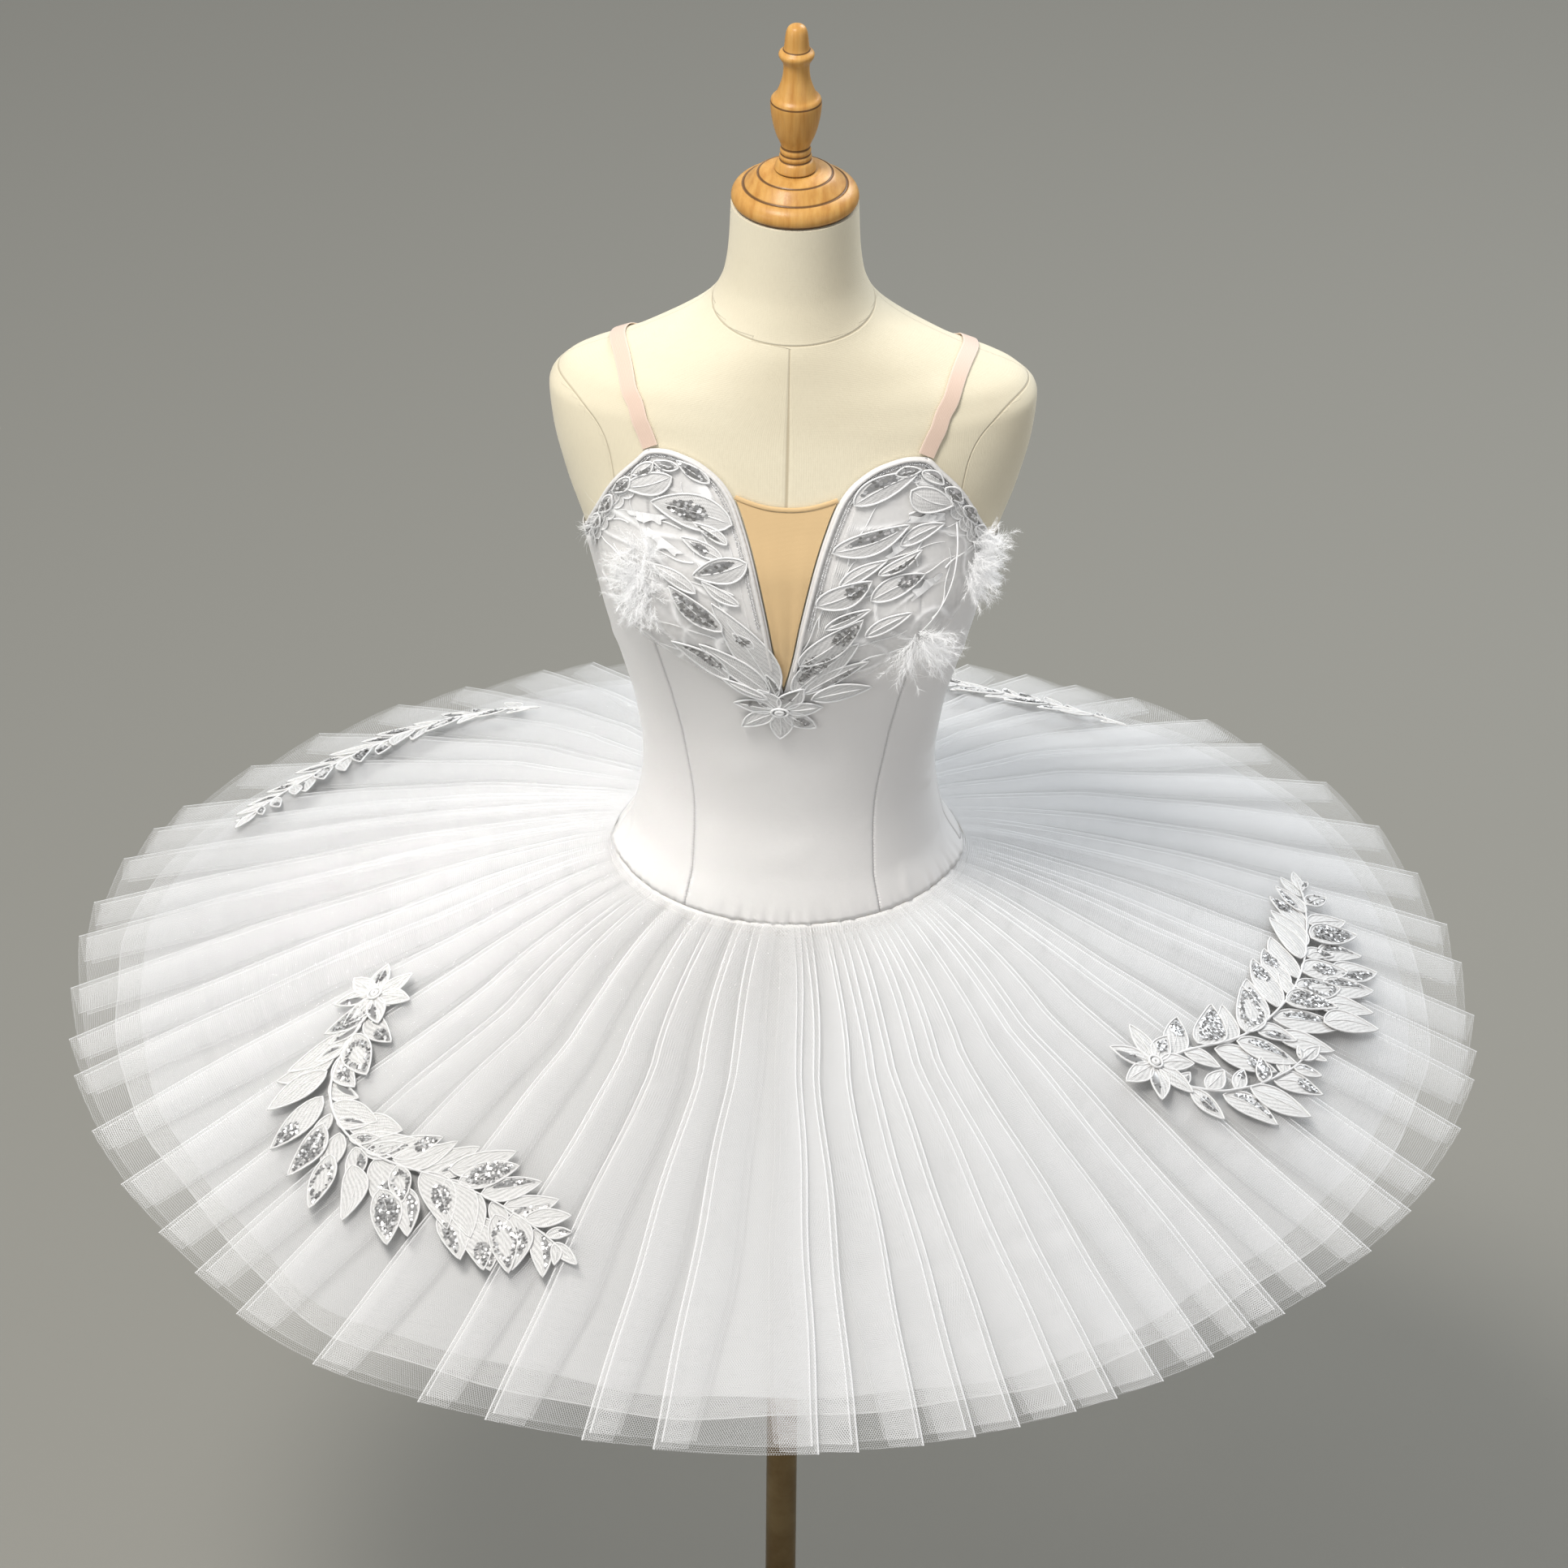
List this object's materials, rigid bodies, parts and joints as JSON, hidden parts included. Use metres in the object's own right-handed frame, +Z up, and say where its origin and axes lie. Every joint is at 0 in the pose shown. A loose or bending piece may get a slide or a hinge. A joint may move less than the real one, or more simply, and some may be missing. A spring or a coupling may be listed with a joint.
{
  "type": "ballet tutu on a dress form",
  "caption": "Classical pancake tutu with a boned princess-cut bodice and pleated net skirt, shown on a limbless dress form with a turned finial, pole and round base.",
  "frame": {"origin": "centre of the underside of the round base, on the pole's axis", "axes": "+Z up the pole, front of the tutu faces -Y, +X to the right of someone who faces the front"},
  "size_m": [1.103, 1.1032, 1.6045],
  "materials": {
    "linen": "undyed linen jersey over a hard shell",
    "maple": "turned, clear varnish",
    "brass": "dark brushed bronze plating",
    "satin": "white matte satin",
    "tulle": "white nylon net",
    "mesh": "skin-coloured stretch net",
    "elastic": "blush elastic tape",
    "embroidery": "white corded embroidery with silver sequins",
    "silver": "small silver beads on tape",
    "down": "white marabou down"
  },
  "bodies": {
    "root": {"base": "brass", "bodice_back_left": "satin", "bodice_back_right": "satin", "bodice_centre_front": "satin", "bodice_side_front_left": "satin", "bodice_side_front_right": "satin", "bodice_spray_left": "embroidery", "bodice_spray_right": "embroidery", "bodice_star": "embroidery", "cup_lace_left": "embroidery", "cup_lace_right": "embroidery", "dress_form": "linen", "edge_piping_left": "satin", "edge_piping_right": "satin", "feather_tuft_left": "down", "feather_tuft_right_lower": "down", "feather_tuft_right_upper": "down", "finial": "maple", "form_socket": "brass", "knicker_yoke": "satin", "mesh_insert": "mesh", "mesh_insert_binding": "mesh", "neck_cap": "maple", "net_second": "tulle", "net_top": "tulle", "plate_lower": "tulle", "plate_upper": "tulle", "pole": "brass", "silver_braid_left": "silver", "silver_braid_right": "silver", "skirt_spray_back_left": "embroidery", "skirt_spray_back_right": "embroidery", "skirt_spray_front_left": "embroidery", "skirt_spray_front_right": "embroidery", "strap_left": "elastic", "strap_right": "elastic"}
  },
  "joints": []
}
